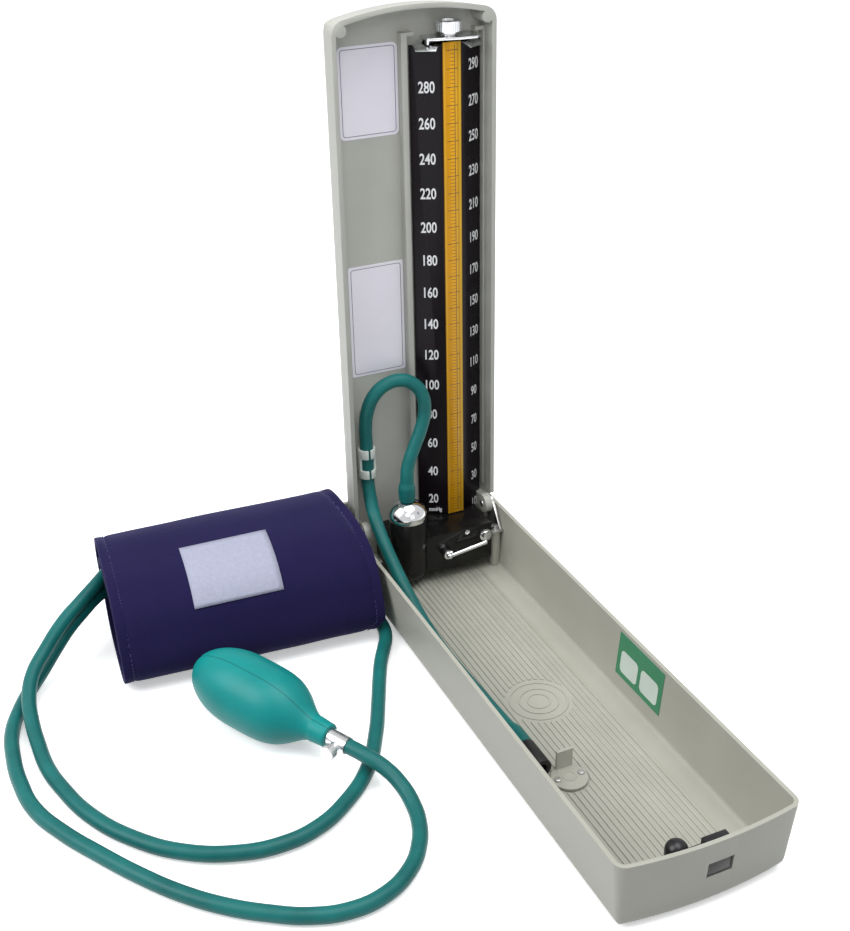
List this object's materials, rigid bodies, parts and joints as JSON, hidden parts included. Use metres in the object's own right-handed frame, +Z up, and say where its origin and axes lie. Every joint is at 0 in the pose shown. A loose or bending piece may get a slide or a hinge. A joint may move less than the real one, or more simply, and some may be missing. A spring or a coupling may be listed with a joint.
{
  "type": "mercury sphygmomanometer",
  "caption": "Folding case standing open with a mercury column scale in its lid, a rolled arm cuff, a squeeze bulb with release valve, and rubber tubing.",
  "frame": {"origin": "middle of the tray's underside, on the table", "axes": "+Z up, the tray's long side runs along Y, its latch end is at -Y and the hinged lid stands at +Y, +X is to the right seen from the latch end"},
  "size_m": [0.3229, 0.3627, 0.3474],
  "materials": {
    "case_plastic": "satin, lightly mottled",
    "tray_plastic": "satin, fine moulded grain",
    "steel": "satin",
    "chrome": "polished",
    "black_plastic": "satin",
    "scale_black": "semi-gloss",
    "scale_amber": "gloss, printed",
    "label_white": "semi-gloss",
    "sticker_green": "satin",
    "tube_glass": "clear",
    "mercury": "liquid metal",
    "hose_rubber": "matt",
    "bulb_rubber": "matt",
    "seal_rubber": "matt",
    "cuff_fabric": "woven nylon",
    "fastener_fabric": "hook and loop pile",
    "clip_plastic": "gloss"
  },
  "bodies": {
    "tray": {"tray_shell": "tray_plastic", "hinge_bracket_left": "steel", "hinge_bracket_right": "steel", "bracket_screws": "steel", "hinge_pins": "steel", "keeper_plate": "tray_plastic", "keeper_screws": "steel", "inspection_sticker": "sticker_green", "cuff_wrap": "cuff_fabric", "cuff_bladder": "seal_rubber", "cuff_fastener": "fastener_fabric", "cuff_label": "label_white", "cuff_hose": "hose_rubber", "cuff_connector": "seal_rubber", "bulb": "bulb_rubber", "bulb_inlet_valve": "chrome", "release_valve": "chrome", "bulb_hose": "hose_rubber", "hose_connector": "seal_rubber", "tank_hose_lead": "hose_rubber"},
    "lid": {"lid_shell": "case_plastic", "upper_label": "label_white", "lower_label": "label_white", "scale_plate": "scale_black", "scale_strip": "scale_amber", "glass_tube": "tube_glass", "lower_tube_seal": "seal_rubber", "upper_tube_seal": "seal_rubber", "top_bracket": "steel", "bracket_rivets": "steel", "tube_washer": "steel", "tank_body": "black_plastic", "tank_cap": "chrome", "hose_nipple": "chrome", "mercury_pool": "mercury", "mercury_column": "mercury", "manometer_base": "black_plastic", "base_screws": "chrome", "hose_clip": "clip_plastic", "tank_hose_loop": "hose_rubber"},
    "latch": {"latch": "black_plastic"},
    "lock": {"lock_plug": "chrome", "lock_lever": "chrome"},
    "thumb_nut": {"thumb_nut": "chrome"},
    "release_screw": {"release_screw": "chrome"}
  },
  "joints": [
    {"name": "lid_fold", "type": "hinge", "parent": "tray", "child": "lid", "pos_m": [0, 0.1349, 0.041], "axis": [1, 0, 0], "range_deg": [0, 90], "deforming": ["tank_hose_lead"]},
    {"name": "latch_press", "type": "hinge", "parent": "tray", "child": "latch", "pos_m": [-0.0145, -0.164, 0.026], "axis": [0, 0, 1], "range_deg": [0, 6], "stiffness_Nm_per_rad": 0.05},
    {"name": "lock_turn", "type": "hinge", "parent": "lid", "child": "lock", "pos_m": [0.0054, 0.125, 0.0235], "axis": [0, -1, 0], "range_deg": [0, 82]},
    {"name": "nut_turn", "type": "hinge", "parent": "lid", "child": "thumb_nut", "pos_m": [0.0223, 0.1428, 0.33], "axis": [0, 0, 1], "range_deg": [0, 360]},
    {"name": "release_turn", "type": "hinge", "parent": "tray", "child": "release_screw", "pos_m": [-0.11588, -0.01291, 0.01627], "axis": [-0.859, -0.512, 0], "range_deg": [0, 540]}
  ]
}
